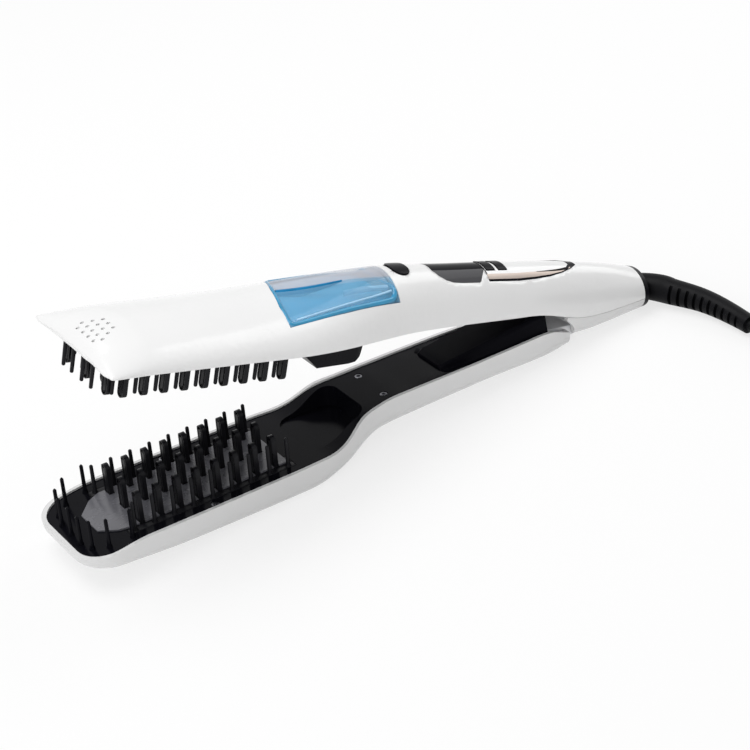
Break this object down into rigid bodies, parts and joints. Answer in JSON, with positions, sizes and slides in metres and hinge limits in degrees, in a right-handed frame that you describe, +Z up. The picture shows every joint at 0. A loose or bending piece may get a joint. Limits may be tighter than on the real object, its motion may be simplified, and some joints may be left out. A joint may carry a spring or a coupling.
{
  "type": "steam hair straightener brush",
  "caption": "Steam hair straightener brush: two sprung arms with bristles and heated plates, lift-out water tank, steam block, push buttons, mains cord.",
  "frame": {"origin": "middle of the footprint of the tool without its cord, on the surface it rests on", "axes": "+X from the bristled tip towards the tail and the cord, +Y across the tool, +Z up from the resting surface"},
  "size_m": [0.4288, 0.1701, 0.1087],
  "materials": {
    "white_gloss": "glossy white moulding",
    "white_satin": "satin white moulding",
    "black_gloss": "glossy black",
    "black_satin": "satin black",
    "bristle_black": "heat-proof nylon",
    "rubber_black": "soft black",
    "heating_grey": "ceramic coated",
    "steel": "bright",
    "aluminium": "plain",
    "rose_gold": "rose gold plating",
    "tank_clear": "clear blue plastic",
    "water_blue": "water",
    "inner_plastic": "plain"
  },
  "bodies": {
    "upper_arm": {"centre_panel": "white_gloss", "circuit_board": "inner_plastic", "coil_tie": "rubber_black", "control_surround": "black_gloss", "cord": "rubber_black", "cord_coil": "rubber_black", "cord_guard": "rubber_black", "cord_lead": "rubber_black", "cord_neck": "rubber_black", "display_module": "inner_plastic", "display_window": "black_gloss", "handle_plate": "black_satin", "hinge_pin": "steel", "hinge_spring": "steel", "plug_body": "black_satin", "plug_pins": "steel", "pump": "inner_plastic", "steam_block": "black_satin", "steam_boiler": "aluminium", "tail_cover": "white_gloss", "tail_ring": "black_satin", "tank_bay": "black_satin", "trim_far": "rose_gold", "trim_near": "rose_gold", "upper_bristles_far_inner": "bristle_black", "upper_bristles_far_outer": "bristle_black", "upper_bristles_near_inner": "bristle_black", "upper_bristles_near_outer": "bristle_black", "upper_comb_base": "black_satin", "upper_heater": "aluminium", "upper_heating_plate": "heating_grey", "upper_shell": "white_gloss", "wiring": "inner_plastic"},
    "lower_arm": {"lower_bristles_centre_paddles": "bristle_black", "lower_bristles_far_paddles": "bristle_black", "lower_bristles_far_pins": "bristle_black", "lower_bristles_near_paddles": "bristle_black", "lower_bristles_near_pins": "bristle_black", "lower_deck": "black_gloss", "lower_heater": "aluminium", "lower_heating_plate": "heating_grey", "lower_shell": "white_gloss", "deck_screws": "steel", "thermal_fuse": "inner_plastic", "grip_block": "black_satin", "hinge_knuckle": "white_satin"},
    "tank": {"water_tank": "tank_clear", "tank_water": "water_blue", "tank_stopper": "rubber_black"},
    "steam_button": {"steam_button": "black_satin"},
    "plus_button": {"plus_button": "black_satin"},
    "minus_button": {"minus_button": "black_satin"}
  },
  "joints": [
    {"name": "jaw", "type": "hinge", "parent": "upper_arm", "child": "lower_arm", "pos_m": [0.12924, 0, 0.00989], "axis": [0, 1, 0], "range_deg": [0, 13.5], "stiffness_Nm_per_rad": 0.8, "springref_deg": -51.57},
    {"name": "tank_lift", "type": "slide", "parent": "upper_arm", "child": "tank", "axis": [0.3105, 0, 0.9506], "range_m": [0, 0.025]},
    {"name": "steam_button_press", "type": "slide", "parent": "upper_arm", "child": "steam_button", "axis": [-0.3105, 0, -0.9506], "range_m": [0, 0.001], "stiffness_N_per_m": 1500, "springref_m": -0.0005},
    {"name": "plus_button_press", "type": "slide", "parent": "upper_arm", "child": "plus_button", "axis": [-0.3105, 0, -0.9506], "range_m": [0, 0.001], "stiffness_N_per_m": 1500, "springref_m": -0.0005},
    {"name": "minus_button_press", "type": "slide", "parent": "upper_arm", "child": "minus_button", "axis": [-0.3105, 0, -0.9506], "range_m": [0, 0.001], "stiffness_N_per_m": 1500, "springref_m": -0.0005}
  ]
}
